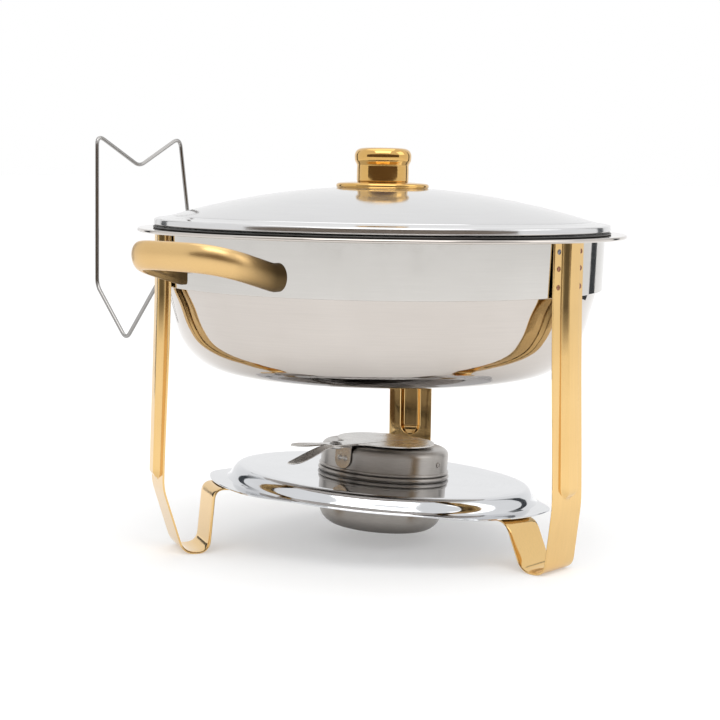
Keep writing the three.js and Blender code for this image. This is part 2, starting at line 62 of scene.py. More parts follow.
# ---- Dimensions in millimetres: from the CAD's boxes, or with the values that the CAD has ----
BAND_R, BAND_BOTTOM, BAND_TOP = extent("support_band")
FLANGE_R, PAN_BOTTOM, FLANGE_Z = extent("water_pan")
FOOD_RIM_R = extent("food_pan")[0]
LID_HOLE = 2.6  # for the knob's screw
DOME_DROP, DOME_R = 26.1, 165.0
LID_LOW, HOLE_EDGE = extent("lid")[1:]
LID_TOP = HOLE_EDGE + DOME_DROP * (LID_HOLE / DOME_R) ** 2
KNOB_TOP = extent("knob")[2]
SHEET = 1.2  # water pan, band and shelf
THIN_SHEET = 1.0  # food pan, bracket and damper
GAP = 0.3  # clearance between pieces that lie on each other
PAN_WALL_R = 159.4
LID_SHEET = 0.9
SHELF_TOP = 49.3
SHELF_DROP = 10.5
SHELF_FLAT_R = 107.0
SHELF_FOOT_R = 117.0
LOBE_R = 129.5
SHELF_HOLE_R = 47.3
DECK_X, DECK_Y = 2.7, -3.3
DECK_TILT = math.radians(4.4)
DECK_UPHILL = math.radians(157)
STRAP_WIDTH = 36.0
STRAP = 1.6
STRAP_R = 165.1  # middle of the strap's thickness where it lies on the band
STRAP_TOP, STRAP_BEND = 229.0, 187.5
STRAP_LOW_R, STRAP_LOW_Z = 168.8, 49.0
FOOT_BEND = 9.2
RIB_BASE, RIB_CREST, RIB_HEIGHT = 9.1, 5.2, 4.4
RIB_END = 52.5
WELD_HEIGHTS = (223.0, 211.5, 199.0)
WELD_ACROSS = 13.2
HANDLE_Z = 205.0
HANDLE_RISE = math.radians(15)
SCREW_OFFSET = 43.5  # of each handle screw from the handle's middle
BAND_SIDES = 40  # the CAD's band has flat sides, and the screws' heads sit on them
# Each leg's direction in degrees, and its foot's radius: the feet are bent unevenly.
LEGS = {"leg_front": (-90, 154.0), "leg_rear_left": (150, 144.5), "leg_rear_right": (30, 149.0)}

# The burner's sizes, with heights counted from the shelf's top.
BURNER_SHEET = 0.8
CUP_R = 46.5
CUP_LOW = -40.0
COVER_R = 47.8
COVER_TOP = 22.4
BEAD_TOP = GAP + 3.2
DAMPER_Z = COVER_TOP + 1.5
DAMPER_R = 36.4
PIVOT_R = 58.0
PIVOT_HOLE = 3.2
ARM_END_R = PIVOT_R + 11

TURN = 192  # faces round a large turned piece
SMALL_TURN = 128
MARK_TURN = 24
SHARP = math.radians(35)  # faces that meet at a wider angle keep a sharp edge
BEVELLED = math.radians(40)

DECK = (
    STAND
    @ Matrix.Translation((DECK_X * MM, DECK_Y * MM, SHELF_TOP * MM))
    @ Matrix.Rotation(DECK_TILT, 4, Vector((math.sin(DECK_UPHILL), -math.cos(DECK_UPHILL), 0)))
)


# ---- Curves and profiles ----
def smooth(x):
    """A soft step from 0 to 1 while x goes from 0 to 1."""
    t = min(max(x, 0.0), 1.0)
    return t * t * (3 - 2 * t)


def lerp(a, b, t):
    return a + (b - a) * t


def vec(p):
    return Vector(p)


def arc(centre, radius, start, end, steps):
    """Points on a circle, from one angle to another in degrees."""
    angles = [math.radians(lerp(start, end, i / steps)) for i in range(steps + 1)]
    return [(centre[0] + radius * math.cos(a), centre[1] + radius * math.sin(a)) for a in angles]


def rounded(points, cuts, steps=8):
    """The line with each inner corner replaced by a curve that starts the cut's length before it."""
    points = [vec(p) for p in points]
    line = [points[0]]
    for i in range(1, len(points) - 1):
        p = points[i]
        cut = cuts[i - 1] if isinstance(cuts, (list, tuple)) else cuts
        a = p + (points[i - 1] - p).normalized() * cut
        b = p + (points[i + 1] - p).normalized() * cut
        for k in range(steps + 1):
            t = k / steps
            line.append(a.lerp(p, t).lerp(p.lerp(b, t), t))
    line.append(points[-1])
    return line


def spline(points, steps=6):
    """A Catmull-Rom curve through the points."""
    points = [vec(p) for p in points]
    ends = [points[0] * 2 - points[1]] + points + [points[-1] * 2 - points[-2]]
    line = []
    for i in range(1, len(ends) - 2):
        a, b, c, d = ends[i - 1 : i + 3]
        for k in range(steps):
            t = k / steps
            square, cube = a * 2 - b * 5 + c * 4 - d, b * 3 - a - c * 3 + d
            line.append((b * 2 + (c - a) * t + square * t**2 + cube * t**3) / 2)
    line.append(points[-1])
    return line


def set_back(line, distance):
    """The line moved sideways, to the left of its direction, by the distance."""
    out = []
    for i, p in enumerate(line):
        a, b = line[max(i - 1, 0)], line[min(i + 1, len(line) - 1)]
        along = (vec(b) - vec(a)).normalized()
        out.append(Vector((p[0] - along.y * distance, p[1] + along.x * distance)))
    return out


def sheet_profile(line, thickness, round_end=True):
    """A sheet's whole section: its outer line, a rounded edge, and its inner line back."""
    line = [vec(p) for p in line]
    back = set_back(line, thickness)
    edge = []
    if round_end:
        middle = (line[-1] + back[-1]) / 2
        out = (line[-1] - line[-2]).normalized() * abs(thickness) / 2
        side = (line[-1] - back[-1]) / 2
        for k in range(1, 5):
            a = math.pi * k / 5
            edge.append(middle + side * math.cos(a) + out * math.sin(a))
    return line + edge + back[::-1]


# ---- Mesh building ----
def finish_mesh(mesh):
    """Faces out, smooth shading, and sharp edges."""
    bm = bmesh.new()
    bm.from_mesh(mesh)
    bmesh.ops.remove_doubles(bm, verts=bm.verts, dist=1e-7)
    bmesh.ops.recalc_face_normals(bm, faces=bm.faces)
    for face in bm.faces:
        face.smooth = True
    for edge in bm.edges:
        edge.smooth = len(edge.link_faces) == 2 and edge.calc_face_angle(0) < SHARP
    bm.to_mesh(mesh)
    bm.free()


def add(name, verts, faces, material, body, place=STAND, nodes=(), slot=None, soft=0.0):
    """A new piece from points in millimetres, placed, given its material, and tied to its body."""
    mesh = bpy.data.meshes.new(name)
    mesh.from_pydata([vec(v) * MM for v in verts], [], faces)
    finish_mesh(mesh)
    obj = bpy.data.objects.new(name, mesh)
    bpy.context.scene.collection.objects.link(obj)
    obj.matrix_world = place
    mesh.materials.append(material)
    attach(obj, body)
    if nodes:
        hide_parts(*nodes)
    if soft:
        soften = obj.modifiers.new("soft_edges", "BEVEL")
        soften.width = soft * MM
        soften.segments = 3
        soften.limit_method = "ANGLE"
        soften.angle_limit = BEVELLED
    shade = obj.modifiers.new("even_shading", "WEIGHTED_NORMAL")
    shade.weight = 80
    shade.keep_sharp = True
    return obj


def turned(profile, segments=TURN):
    """Revolves a closed section, or one that starts and ends on the axis, about Z."""
    rings, verts, faces = [], [], []
    for r, z in [(p[0], p[1]) for p in profile]:
        if r < 1e-6:
            rings.append([len(verts)] * segments)
            verts.append((0, 0, z))
            continue
        rings.append([len(verts) + k for k in range(segments)])
        for k in range(segments):
            a = 2 * math.pi * k / segments
            verts.append((r * math.cos(a), r * math.sin(a), z))
    pairs = list(zip(rings, rings[1:]))
    if profile[0][0] > 1e-6 or profile[-1][0] > 1e-6:
        pairs.append((rings[-1], rings[0]))
    for low, high in pairs:
        for k in range(segments):
            n = (k + 1) % segments
            corners = list(dict.fromkeys((low[k], low[n], high[n], high[k])))
            if len(corners) > 2:
                faces.append(corners)
    return verts, faces


def lofted(loops, ring=False):
    """Skins a row of closed loops with equal point counts; the row is closed too, or capped at its ends."""
    count = len(loops[0])
    verts = [p for loop in loops for p in loop]
    faces = []
    last = len(loops) if ring else len(loops) - 1
    for i in range(last):
        a, b = i * count, ((i + 1) % len(loops)) * count
        for j in range(count):
            k = (j + 1) % count
            faces.append((a + j, b + j, b + k, a + k))
    if not ring:
        end = (len(loops) - 1) * count
        faces.append(tuple(range(count)))
        faces.append(tuple(end + j for j in reversed(range(count))))
    return verts, faces


def merged(*parts):
    """Several vertex and face lists as one."""
    verts, faces = [], []
    for v, f in parts:
        start = len(verts)
        verts += list(v)
        faces += [tuple(start + i for i in face) for face in f]
    return verts, faces


def moved(part, matrix):
    """A part's vertices carried by the matrix, with its faces as they are."""
    return [matrix @ vec(v) for v in part[0]], part[1]


def swept(line, section, up=Vector((1, 0, 0))):
    """A section of (side, other) points carried along a line, turned as little as possible."""
    loops, side = [], up.copy()
    for i, p in enumerate(line):
        along = (line[min(i + 1, len(line) - 1)] - line[max(i - 1, 0)]).normalized()
        side = (side - along * side.dot(along)).normalized()
        other = along.cross(side)
        loops.append([p + side * q[0] + other * q[1] for q in section])
    return lofted(loops)


# ---- Materials ----
def node(tree, kind, inputs=(), **settings):
    """A new shader node; an input is either another node's output or a value."""
    n = tree.nodes.new(kind)
    for key, value in settings.items():
        setattr(n, key, value)
    for key, value in dict(inputs).items():
        if isinstance(value, bpy.types.NodeSocket):
            tree.links.new(value, n.inputs[key])
        else:
            n.inputs[key].default_value = value
    return n


def maths(tree, operation, a, b=0.0):
    return node(tree, "ShaderNodeMath", {0: a, 1: b}, operation=operation).outputs[0]


def noise(tree, vector, scale, detail=4.0, roughness=0.55):
    inputs = {"Vector": vector, "Scale": scale, "Detail": detail, "Roughness": roughness}
    return node(tree, "ShaderNodeTexNoise", inputs).outputs["Fac"]


def span(tree, value, low, high, to_low, to_high):
    """The value carried from one range to another and held at its ends."""
    inputs = {"Value": value, "From Min": low, "From Max": high, "To Min": to_low, "To Max": to_high}
    return node(tree, "ShaderNodeMapRange", inputs).outputs["Result"]


def axis_distance(tree, xyz):
    """How far a point is from the piece's own upright axis."""
    squares = maths(tree, "ADD", maths(tree, "POWER", xyz[0], 2.0), maths(tree, "POWER", xyz[1], 2.0))
    return maths(tree, "SQRT", squares)


def grain_vector(tree, coords, grain):
    """Coordinates in which a noise drawn at even scale comes out as the metal's brushing."""
    xyz = node(tree, "ShaderNodeSeparateXYZ", {"Vector": coords}).outputs
    if grain == "spun":
        height_share, round_share = 1.37, 0.004
        along = maths(tree, "ADD", axis_distance(tree, xyz), maths(tree, "MULTIPLY", xyz[2], height_share))
        turn = maths(tree, "ARCTAN2", xyz[1], xyz[0])
        east = maths(tree, "MULTIPLY", maths(tree, "COSINE", turn), round_share)
        north = maths(tree, "MULTIPLY", maths(tree, "SINE", turn), round_share)
        return node(tree, "ShaderNodeCombineXYZ", {"X": along, "Y": east, "Z": north}).outputs[0]
    stretch = {"along": (1.0, 1.0, 0.012), "across": (0.015, 1.0, 1.0), "even": (1.0, 1.0, 1.0)}[grain]
    return node(tree, "ShaderNodeVectorMath", {0: coords, 1: stretch}, operation="MULTIPLY").outputs[0]


def metal(
    name,
    colour,
    dark,
    rough,
    grain="spun",
    scale=900.0,
    depth=0.004,
    spread=0.03,
    spots=0.0,
    brushed=0.0,
    painted_shade=None,
    metallic=1.0,
    edge=1.0,
):
    """Bare or plated metal: brushing, clouded polish, and a few faint water spots.

    The metal clouds between colour and dark. Scale and depth are the brushing's, and spread is how far the
    roughness wanders. Spots is how much duller the water spots are, brushed how far the shine is drawn
    out across the brushing, and edge how much is reflected at grazing angles. The mask and share paint shade:
    where the mask is 1 the metal is painted darker by the share and a little duller, standing in for shade
    and dark reflections.
    """
    material = bpy.data.materials.new(name)
    material.use_nodes = True
    tree = material.node_tree
    shader = tree.nodes["Principled BSDF"]
    shader.inputs["Metallic"].default_value = metallic
    shader.inputs["Specular Tint"].default_value = (edge, edge, edge, 1)
    coords = node(tree, "ShaderNodeTexCoord").outputs["Object"]
    lines = noise(tree, grain_vector(tree, coords, grain), scale, 5.0, 0.65)
    clouds = noise(tree, coords, 18.0, 2.0)
    smears = noise(tree, coords, 70.0, 3.0)
    tint = node(tree, "ShaderNodeMix", {0: span(tree, clouds, 0.3, 0.7, 0.0, 1.0)}, data_type="RGBA")
    tint.inputs[6].default_value = (*colour, 1)
    tint.inputs[7].default_value = (*dark, 1)
    shade = span(tree, lines, 0.25, 0.75, 0.96 - brushed * 0.1, 1.02 + brushed * 0.1)
    grey = node(tree, "ShaderNodeCombineColor", {0: shade, 1: shade, 2: shade}).outputs[0]
    inputs = {0: 1.0, 6: tint.outputs[2], 7: grey}
    product = node(tree, "ShaderNodeMix", inputs, data_type="RGBA", blend_type="MULTIPLY")
    base = product.outputs[2]
    # Painted shade: where the mask is 1 the base colour is pulled towards a darkened copy of the dark colour.
    if painted_shade:
        mask, share = painted_shade
        painted_dark = mask(tree, node(tree, "ShaderNodeSeparateXYZ", {"Vector": coords}).outputs)
        base = node(tree, "ShaderNodeMix", {0: painted_dark, 6: base}, data_type="RGBA")
        base.inputs[7].default_value = tuple(share * c for c in dark) + (1,)
        base = base.outputs[2]
    tree.links.new(base, shader.inputs["Base Color"])
    polish = maths(tree, "ADD", span(tree, smears, 0.35, 0.7, -spread, spread), rough)
    polish = maths(tree, "ADD", polish, span(tree, lines, 0.3, 0.7, -spread / 2, spread / 2))
    if spots:
        cells = node(tree, "ShaderNodeTexVoronoi", {"Vector": coords, "Scale": 90.0}).outputs["Distance"]
        polish = maths(tree, "ADD", polish, span(tree, cells, 0.03, 0.07, spots, 0.0))
    # The painted shade also makes the metal a little duller.
    if painted_shade:
        polish = maths(tree, "ADD", polish, maths(tree, "MULTIPLY", painted_dark, 0.25 - 0.25 * share))
    limits = {"Value": polish, "Min": 0.02, "Max": 1.0}
    tree.links.new(node(tree, "ShaderNodeClamp", limits).outputs[0], shader.inputs["Roughness"])
    height = maths(tree, "MULTIPLY", lines, depth)
    bump = node(tree, "ShaderNodeBump", {"Height": height, "Strength": 1.0, "Distance": MM})
    tree.links.new(bump.outputs[0], shader.inputs["Normal"])
    if brushed:
        shader.inputs["Anisotropic"].default_value = brushed
        shader.inputs["Anisotropic Rotation"].default_value = 0.25
        tangent = node(tree, "ShaderNodeTangent", direction_type="RADIAL", axis="Z")
        tree.links.new(tangent.outputs[0], shader.inputs["Tangent"])
    return material


def underside_painted_shade(tree, xyz):
    """Painted shade on the pan's underside, over the burner: darker towards the bottom."""
    return span(tree, xyz[2], (PAN_BOTTOM + 1.0) * MM, (PAN_BOTTOM + 13.5) * MM, 1.0, 0.0)


def lid_edge_painted_shade(tree, xyz):
    """Painted shade on the rolled edge's lower side and the inside of the lid."""
    return span(tree, xyz[2], (LID_LOW + 0.02) * MM, (LID_LOW + 0.2) * MM, 1.0, 0.0)


def rim_gap(tree, xyz):
    """The outer edge of the food pan's rim, where the lid keeps the light out."""
    edge = FOOD_RIM_R - 0.8
    return span(tree, axis_distance(tree, xyz), (edge - 0.8) * MM, edge * MM, 0.0, 1.0)


def rib_painted_reflection(tree, xyz):
    """Painted reflection on the two steep sides of a leg's rib, near the band: darkened as if they mirrored a
    dark room.
    """
    across = maths(tree, "ABSOLUTE", xyz[1])
    outside = span(tree, across, (RIB_BASE - 1.3) * MM, (RIB_BASE - 0.1) * MM, 1.0, 0.0)
    inside = span(tree, across, (RIB_CREST + 0.4) * MM, (RIB_CREST + 1.4) * MM, 0.0, 1.0)
    near_band = span(tree, xyz[2], (BAND_BOTTOM - 39.5) * MM, (BAND_BOTTOM - 5.5) * MM, 0.0, 1.0)
    return maths(tree, "MULTIPLY", maths(tree, "MULTIPLY", outside, inside), near_band)


def cup_edge_painted_shade(tree, xyz):
    """Painted shade on the rounded lower edge of the burner's cup."""
    return span(tree, xyz[2], (CUP_LOW + 1) * MM, (CUP_LOW + 10) * MM, 1.0, 0.0)


def bar_ends_painted_shade(tree, xyz):
    """Painted shade on a handle's two ends, darker towards the band."""
    return span(tree, xyz[0], (BAND_R + 2) * MM, (BAND_R + 39) * MM, 1.0, 0.0)


MIRROR = metal("mirror_steel", (0.60, 0.582, 0.557), (0.58, 0.562, 0.535), 0.07, spots=0.02)
# The bowl is painted darker on its underside: painted shade.
BOWL = metal(
    "pan_steel", (0.57, 0.53, 0.495), (0.545, 0.505, 0.47), 0.06, spots=0.02, painted_shade=(underside_painted_shade, 0.8)
)
INSIDE = metal(
    "pan_inside_steel",
    (0.63, 0.62, 0.60),
    (0.58, 0.57, 0.55),
    0.20,
    depth=0.02,
    spread=0.05,
    spots=0.03,
    painted_shade=(rim_gap, 0.16),
)
# The lid is painted darker along the lower side of its rolled edge: painted shade.
LID = metal(
    "lid_steel",
    (0.68, 0.68, 0.685),
    (0.66, 0.66, 0.665),
    0.12,
    spots=0.02,
    metallic=0.92,
    edge=0.95,
    painted_shade=(lid_edge_painted_shade, 0.06),
)
SHELF = metal("shelf_steel", (0.66, 0.67, 0.69), (0.62, 0.63, 0.65), 0.07, scale=700.0, spots=0.02)
# The legs carry a painted reflection: dark on the sides of the rib, near the band.
GOLD_LEG = metal(
    "gold_leg",
    (0.79, 0.54, 0.235),
    (0.75, 0.50, 0.21),
    0.10,
    "along",
    700.0,
    spots=0.03,
    painted_shade=(rib_painted_reflection, 0.22),
)
GOLD_KNOB = metal("gold_knob", (0.70, 0.44, 0.15), (0.66, 0.40, 0.13), 0.07)
# The handles are painted darker at their ends by the band: painted shade.
SATIN_GOLD = metal(
    "satin_gold",
    (0.72, 0.49, 0.22),
    (0.68, 0.45, 0.20),
    0.30,
    "even",
    1400.0,
    spread=0.02,
    painted_shade=(bar_ends_painted_shade, 0.22),
)
# The burner's cup is painted darker at its lower edge: painted shade.
BRUSHED = metal(
    "brushed_steel",
    (0.43, 0.405, 0.38),
    (0.37, 0.345, 0.32),
    0.36,
    scale=1500.0,
    depth=0.006,
    brushed=0.85,
    painted_shade=(cup_edge_painted_shade, 0.45),
)
BRUSHED_FLAT = metal("brushed_sheet", (0.58, 0.56, 0.535), (0.52, 0.50, 0.475), 0.26, "across", 1200.0, 0.008)
CHROME = metal("chrome_wire", (0.36, 0.35, 0.34), (0.32, 0.31, 0.30), 0.10, "even", 400.0)
FASTENER = metal("plain_steel", (0.50, 0.50, 0.50), (0.40, 0.40, 0.40), 0.30, "even", 900.0, 0.03, 0.08)
WELD_BROWN = metal("weld_brown", (0.42, 0.19, 0.10), (0.30, 0.16, 0.12), 0.35, "even", 600.0, 0.05, 0.08)
WELD_BLUE = metal("weld_blue", (0.28, 0.28, 0.33), (0.20, 0.21, 0.27), 0.35, "even", 600.0, 0.05, 0.08)


# ---- Pans and lid ----
def water_pan():
    """The bowl, and the flange with its rolled bead."""
    bowl = [(92, 0), (109, 0.9), (123, 3.7), (133, 8.5), (141, 15.5), (147.2, 24.5)]
    bowl += [(151.4, 35.5), (155, 49.5), (158.2, 61.5), (PAN_WALL_R, 70.5)]
    bowl = [(r, PAN_BOTTOM + up) for r, up in bowl]
    under = FLANGE_Z - SHEET
    rise = [vec(p) for p in [(0, PAN_BOTTOM), (30, PAN_BOTTOM), (60, PAN_BOTTOM)]] + spline(bowl, 6)
    neck = rounded([rise[-1], (PAN_WALL_R, under), (FLANGE_R - 3, under)], 1.5, 6)[1:]
    bead = 1.35
    roll = arc((FLANGE_R - bead, FLANGE_Z - bead), bead, -200, 90, 18)
    outer = rise + neck[:-1] + [vec(p) for p in roll]
    inner = set_back(rise + neck[:-1], SHEET)
    inner = [p for p in inner if p[0] > 0.5]
    profile = outer + inner[::-1] + [(0, PAN_BOTTOM + SHEET)]
    add("pan_bowl", *turned(profile), BOWL, "water_pan", nodes=["water_pan"], slot="mirror_steel")


def food_pan():
    """The inner pan, which hangs by its rim on the water pan's flange."""
    wall, floor, rim = 155.5, 165.0, FLANGE_Z + GAP
    corner = [(0, floor), (112, floor), (126, floor + 3), (136, floor + 11), (wall - 9, floor + 24)]
    corner += [(wall - 3.4, floor + 38), (wall, floor + 52)]
    line = [vec((0, floor)), vec((60, floor))] + spline(corner[1:], 6)
    line += rounded([(wall, floor + 53), (wall, rim), (FOOD_RIM_R, rim)], 1.5, 6)[1:]
    profile = sheet_profile(line, THIN_SHEET)
    profile[-1] = vec((0, floor + THIN_SHEET))
    add("pan_insert", *turned(profile), INSIDE, "food_pan", nodes=["food_pan"], slot="mirror_steel")


def dome(r):
    """Height of the lid's top face, which is LID_TOP above the middle of its hole."""
    return LID_TOP - DOME_DROP * (r / DOME_R) ** 2


def lid():
    """The dome, the groove pressed round it, and the rim, whose edge is rolled under."""
    crease = 154.3
    top = [(r, dome(r)) for r in (LID_HOLE, 6, 12)] + [(r, dome(r)) for r in range(20, 152, 5)]
    groove = [(crease - 0.7, dome(crease - 0.7)), (crease - 0.2, dome(crease) - 0.25)]
    groove += [(crease + 0.2, dome(crease) - 0.3), (crease + 0.9, dome(crease) - 0.25)]
    edge = FOOD_RIM_R
    rim = [(8.0, 5.8), (3.4, 5.2), (1.4, 4.85), (0.5, 4.2), (0.27, 3.4), (0.13, 2.2), (0.02, 1.1)]
    rim += [(0.3, 0.4), (1.2, 0.0), (2.2, 0.4), (2.5, 1.4)]
    rim = spline([(edge - inward, LID_LOW + up) for inward, up in rim], 5)
    inside = [(edge - 3, LID_LOW + 2.8), (edge - 6, LID_LOW + 3.9)]
    inside += [(r, dome(r) - LID_SHEET) for r in range(155, 15, -5)]
    inside += [(6, dome(6) - LID_SHEET), (LID_HOLE, dome(LID_HOLE) - LID_SHEET)]
    profile = top + groove + [tuple(p) for p in rim] + inside
    add("lid_dome", *turned(profile), LID, "lid", nodes=["lid"], slot="lid_steel")


def knob():
    """The grip, with its waist and crown, and the round plate that it stands on."""
    base = KNOB_TOP - 25.2
    side = [(17.6, base), (18.9, base + 0.4), (19.2, base + 1.2), (19.2, base + 9.5)]
    waist = [(19.2, base + 9.5), (19.1, base + 11.2), (19.2, base + 12.4), (19.9, base + 13.9)]
    waist = spline(waist + [(20.7, base + 15.6), (21.0, base + 18.2)], 6)
    crown = [(21.0, base + 18.2), (20.8, base + 20.6), (19.6, base + 23.0), (17.2, base + 24.5)]
    crown = spline(crown + [(13.5, base + 25.1)], 6)
    cap = [(13.5, base + 25.1), (7, base + 25.2), (0, base + 25.2)]
    bore = [(0, base + 12), (2.3, base + 12), (2.3, base), (17.6, base)]
    profile = bore + side[1:] + waist[1:] + crown[1:] + cap[1:]
    add("knob_body", *turned(profile, SMALL_TURN), GOLD_KNOB, "lid", nodes=["knob"], slot="gold_knob")
    low = dome(33.5) + GAP
    edge = [(LID_HOLE, dome(0) + GAP), (18, dome(18) + GAP + 0.4), (31.6, low - 0.8)]
    rim = [(31.6, low - 0.8), (33.4, low - 0.5), (34.4, low + 1.2), (33.6, low + 2.8), (31.4, low + 3.5)]
    rim = spline(rim, 6)
    top = spline([(31.4, low + 3.5), (27, low + 3.95), (23, low + 4.2), (20.2, low + 4.25)], 5)
    profile = edge + [tuple(p) for p in rim[1:] + top[1:]] + [(LID_HOLE, low + 4.25)]
    plate = turned(profile, SMALL_TURN)
    add("knob_plate", *plate, GOLD_KNOB, "lid", nodes=["knob_base_plate"], slot="gold_knob")


def knob_fixings():
    """The washer and the pan-head screw under the lid, with the screw's thread."""
    under = dome(0) - LID_SHEET - GAP
    washer = [(2.4, under - 1.2), (6.6, under - 1.2), (7, under - 0.9)]
    washer += [(7, under - 0.3), (6.7, under), (2.4, under)]
    add("knob_washer_ring", *turned(washer, 64), FASTENER, "lid", nodes=["knob_washer"], slot="plain_steel")
    seat = under - 1.5
    head = [(0, seat - 3.0), (1.2, seat - 2.95)] + arc((1.6, seat + 0.2), 2.9, -75, -5, 8)
    pitch, threads = 0.7, []
    for k in range(18):
        threads += [(2.0, seat + 0.4 + pitch * k), (1.65, seat + 0.75 + pitch * k)]
    profile = head + [(4.3, seat), (2.0, seat)] + threads + [(0, seat + 13.8)]
    add("knob_screw_body", *turned(profile, 48), FASTENER, "lid", nodes=["knob_screw"], slot="plain_steel")


# ---- Stand ----
def band():
    """The ring, drawn in very slightly towards its lower edge."""
    edge, taper = SHEET / 2, 1.0
    top, bottom = BAND_R - edge, BAND_R - taper - edge
    profile = arc((bottom, BAND_BOTTOM + edge), edge, 180, 360, 8)
    profile += arc((top, BAND_TOP - edge), edge, 0, 180, 8)
    add("band_ring", *turned(profile), MIRROR, "stand", nodes=["support_band"], slot="mirror_steel")


def deck_rise(x, y):
    """How much higher the tilted shelf is at a place than at its own middle."""
    along = (x - DECK_X) * math.cos(DECK_UPHILL) + (y - DECK_Y) * math.sin(DECK_UPHILL)
    return math.tan(DECK_TILT) * along


def leg_section(height, narrow):
    """Half the strap's outer face, from its rounded edge over the rib's side to the middle."""
    half, face, base, crest = STRAP_WIDTH / 2, STRAP / 2, RIB_BASE * narrow, RIB_CREST * narrow
    flat = [(half - 0.15, -face + 0.35), (half, 0.0), (half - 0.15, face - 0.35), (half - 0.5, face)]
    flat += [(16.0, face), (12.5, face), (base, face)]
    wall = [(lerp(base, crest, k / 16), face + height * smooth(k / 16)) for k in range(1, 17)]
    return flat + wall + [(crest * share, face + height) for share in (0.6, 0.25, 0.0)]


def leg_line(foot_r, angle):
    """The strap's middle line as (radius, height): down, round the foot, up to the tab under the shelf."""
    a = math.radians(angle)
    tab_z = SHELF_TOP - SHELF_DROP - SHEET - GAP - STRAP / 2

    def tab(r):
        return (r, tab_z + deck_rise(r * math.cos(a), r * math.sin(a)))

    corners = [(STRAP_R, STRAP_TOP), (STRAP_R, STRAP_BEND), (STRAP_LOW_R, STRAP_LOW_Z)]
    corners += [(foot_r + FOOT_BEND, STRAP / 2), (foot_r - FOOT_BEND, STRAP / 2), tab(131), tab(106)]
    return rounded(corners, [6, 7, FOOT_BEND * 0.95, FOOT_BEND * 0.95, 8], 8)


def dense(line, step):
    """The line with points added, so that none of its parts is longer than the step."""
    out = [line[0]]
    for a, b in zip(line, line[1:]):
        count = max(1, math.ceil((b - a).length / step))
        out += [a.lerp(b, (k + 1) / count) for k in range(count)]
    return out


def leg(name):
    """One strap, its rib fading out below, its top bowed to the band, with its tab and spot welds."""
    angle, foot_r = LEGS[name]
    line = dense(leg_line(foot_r, angle), 2.5)
    a = math.radians(angle)
    slope = deck_rise(-math.sin(a), math.cos(a)) - deck_rise(0, 0)
    loops = []
    for i, p in enumerate(line):
        along = (line[min(i + 1, len(line) - 1)] - line[max(i - 1, 0)]).normalized()
        out = Vector((-along.y, along.x))
        on_upright = p.x > 150
        rise = (p.y - RIB_END) / RIB_BASE if on_upright else 0.0
        height = RIB_HEIGHT * smooth(rise * 1.6)
        narrow = math.sqrt(max(1 - (1 - min(max(rise, 0.0), 1.0)) ** 2, 0.06))
        half = leg_section(height, narrow)
        inner = [(t, o - STRAP) for t, o in half[4:]]
        right = [(t, o) for t, o in half]
        left = [(-t, o) for t, o in half[::-1][1:]]
        section = right + left + [(-t, o) for t, o in inner] + inner[::-1][1:]
        tilt = slope * smooth((137 - p.x) / 10)
        bow = 0.5 / BAND_R * smooth((p.y - 60) / 100)  # the band's own curve, full at the top
        loops.append([(p.x + out.x * o - bow * t * t, t, p.y + out.y * o + t * tilt) for t, o in section])
    place = STAND @ Matrix.Rotation(a, 4, "Z")
    add(name.replace("leg", "strap"), *lofted(loops), GOLD_LEG, "stand", place, [name], "gold_leg")
    ring = [(0, 0.30), (0.7, 0.26), (1.0, 0.06), (1.3, 0.42), (1.65, 0.36), (1.9, 0.02), (0, 0.0)]
    marks = {"brown": [], "blue": []}
    for row, height in enumerate(WELD_HEIGHTS):
        for across in (-WELD_ACROSS, WELD_ACROSS):
            turn = Matrix.Translation((STRAP_R + 0.25, across, height)) @ Matrix.Rotation(math.pi / 2, 4, "Y")
            marks["blue" if row == 0 and across < 0 else "brown"].append(moved(turned(ring, MARK_TURN), turn))
    for colour, material in (("brown", WELD_BROWN), ("blue", WELD_BLUE)):
        mark = name.replace("leg", f"weld_{colour}")
        add(mark, *merged(*marks[colour]), material, "stand", place, slot="gold_leg")


def shelf():
    """The raised round top with its hole and sloping skirt, and a flat lobe towards each leg."""
    steps = 240
    skirt = [(SHELF_FLAT_R - 3, 0), (SHELF_FLAT_R + 2.2, -0.7), (SHELF_FLAT_R + 5.4, -3.6)]
    skirt = spline(skirt + [(SHELF_FLAT_R + 7.9, -8.0), (SHELF_FOOT_R, -10.2)], 6)
    loops = []
    for i in range(steps):
        degrees = 360 * i / steps
        near_leg = smooth((math.cos(math.radians(3 * (degrees + 90))) + 0.55) / 1.1)  # 1 on the three lobes
        rim = lerp(SHELF_FOOT_R + 0.6, LOBE_R, near_leg)
        line = [(SHELF_HOLE_R, 0), (60, 0), (80, 0), (97, 0)] + skirt
        line += [(lerp(SHELF_FOOT_R, rim, 0.35), -SHELF_DROP), (rim - 0.3, -SHELF_DROP)]
        section = sheet_profile(line, -SHEET)
        a = math.radians(degrees)
        loops.append([(p[0] * math.cos(a), p[0] * math.sin(a), p[1]) for p in section])
    add("shelf_plate", *lofted(loops, ring=True), SHELF, "stand", DECK, ["burner_shelf"], "mirror_steel")


